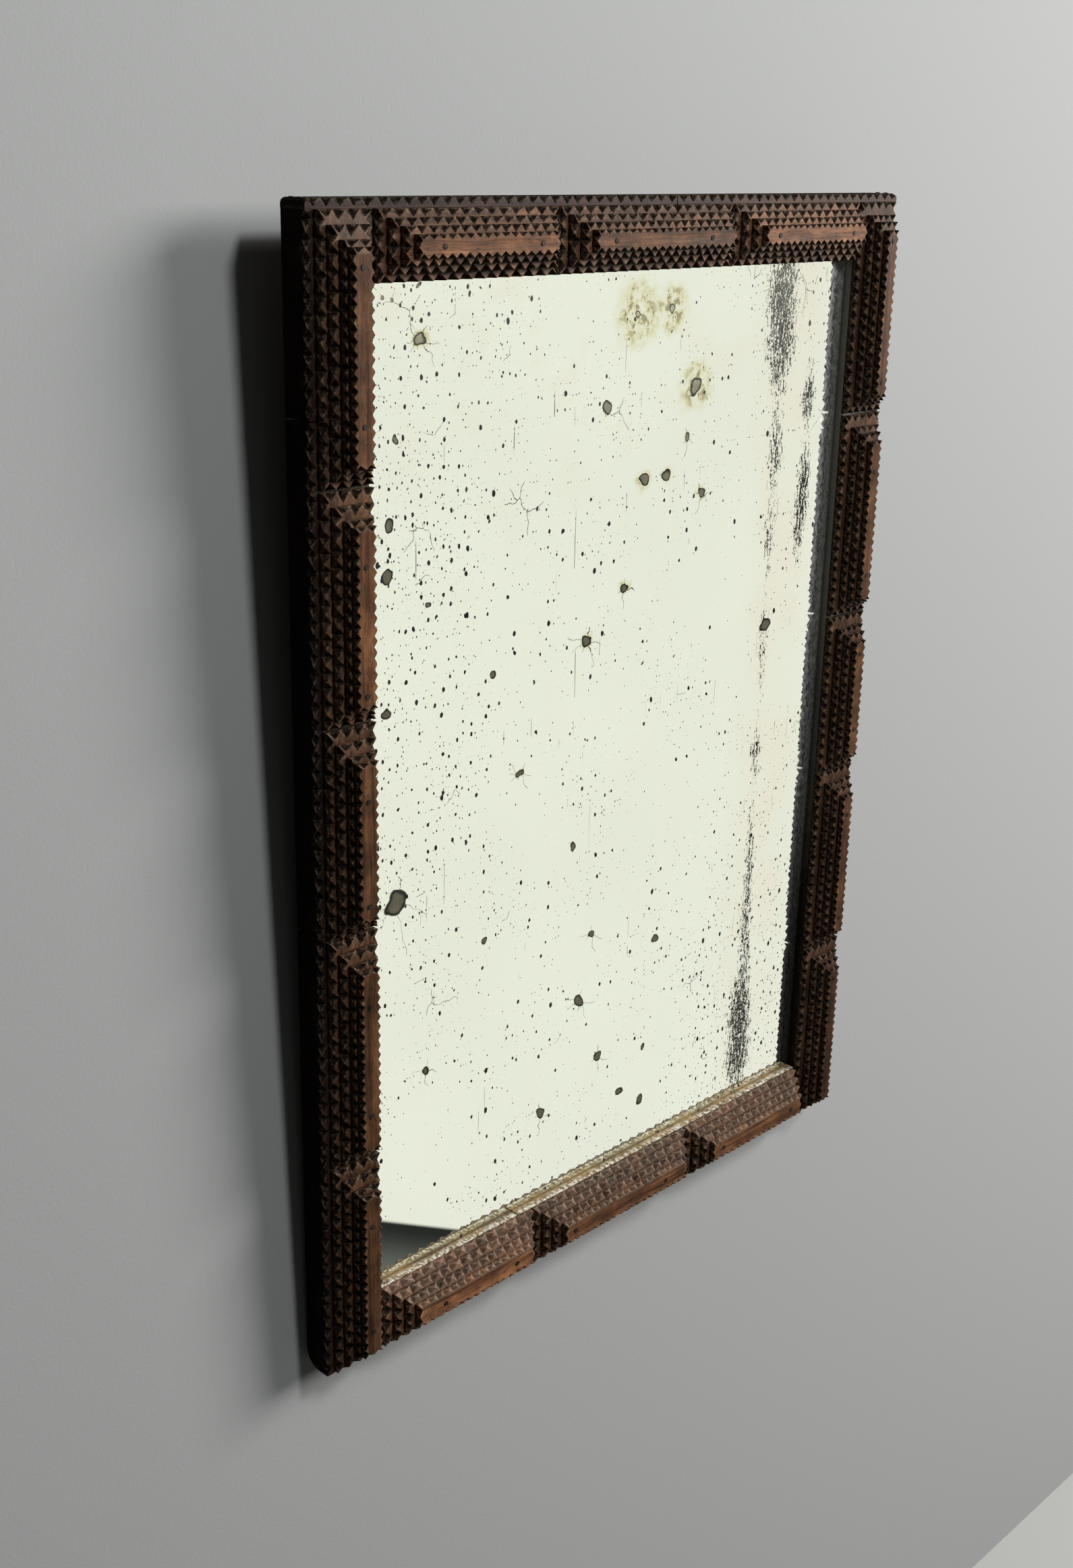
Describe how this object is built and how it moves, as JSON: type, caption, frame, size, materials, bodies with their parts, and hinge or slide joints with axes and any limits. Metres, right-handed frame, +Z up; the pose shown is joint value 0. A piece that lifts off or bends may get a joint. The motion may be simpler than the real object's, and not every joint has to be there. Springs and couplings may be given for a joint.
{
  "type": "wall mirror",
  "caption": "Tall wall mirror in a shallow box frame whose front carries stepped panels of edge-notched boards, with hanging rings behind.",
  "frame": {"origin": "midway between the axes of the two hanging rings, in the plane of the wall that the case's back edges touch", "axes": "+Z up, +X to the right as seen from the front, front faces -Y, +Y into the wall"},
  "size_m": [0.605, 0.0427, 0.814],
  "materials": {
    "case_wood": "dark worn varnish",
    "panel_wood": "dark red-brown varnish, notches knife-cut",
    "face_wood": "red-brown varnish",
    "ground_wood": "bare aged softwood edges",
    "plank_wood": "bare aged softwood",
    "mirror_glass": "aged silvering with dark specks",
    "nail_steel": "dull, oxidised",
    "hanger_steel": "aged plating"
  },
  "bodies": {
    "frame": {"left_side_foot": "case_wood", "left_side_middle": "case_wood", "left_side_head": "case_wood", "right_side": "case_wood", "top_board_left": "case_wood", "top_board_right": "case_wood", "bottom_board": "case_wood", "left_ground": "ground_wood", "right_ground": "ground_wood", "top_ground": "ground_wood", "bottom_ground_left": "ground_wood", "bottom_ground_right": "ground_wood", "mirror_glass": "mirror_glass", "back_planks": "plank_wood", "left_panel_1_lowest": "panel_wood", "left_panel_2_lowest": "panel_wood", "left_panel_3_lowest": "panel_wood", "left_panel_4_lowest": "panel_wood", "left_panel_5_lowest": "panel_wood", "right_panel_1_lowest": "panel_wood", "right_panel_2_lowest": "panel_wood", "right_panel_3_lowest": "panel_wood", "right_panel_4_lowest": "panel_wood", "right_panel_5_lowest": "panel_wood", "top_panel_1_lowest": "panel_wood", "top_panel_2_lowest": "panel_wood", "top_panel_3_lowest": "panel_wood", "bottom_panel_1_lowest": "panel_wood", "bottom_panel_2_lowest": "panel_wood", "bottom_panel_3_lowest": "panel_wood", "left_second_boards": "panel_wood", "right_second_boards": "panel_wood", "top_second_boards": "panel_wood", "bottom_second_boards": "panel_wood", "left_third_boards": "panel_wood", "right_third_boards": "panel_wood", "top_third_boards": "panel_wood", "bottom_third_boards": "panel_wood", "left_panel_1_face": "face_wood", "left_panel_2_face": "face_wood", "left_panel_3_face": "face_wood", "left_panel_4_face": "face_wood", "left_panel_5_face": "face_wood", "right_panel_1_face": "face_wood", "right_panel_2_face": "face_wood", "right_panel_3_face": "face_wood", "right_panel_4_face": "face_wood", "right_panel_5_face": "face_wood", "top_panel_1_face": "face_wood", "top_panel_2_face": "face_wood", "top_panel_3_face": "face_wood", "bottom_panel_1_face": "face_wood", "bottom_panel_2_face": "face_wood", "bottom_panel_3_face": "face_wood", "panel_nails": "nail_steel", "case_nails": "nail_steel", "hanger_straps": "hanger_steel", "hanger_screws": "hanger_steel"},
    "left_ring": {"left_ring": "hanger_steel"},
    "right_ring": {"right_ring": "hanger_steel"}
  },
  "joints": [
    {"name": "left_ring_hinge", "type": "hinge", "parent": "frame", "child": "left_ring", "pos_m": [-0.182, -0.0035, 0], "axis": [1, 0, 0], "range_deg": [0, 180]},
    {"name": "right_ring_hinge", "type": "hinge", "parent": "frame", "child": "right_ring", "pos_m": [0.182, -0.0035, 0], "axis": [1, 0, 0], "range_deg": [0, 180]}
  ]
}
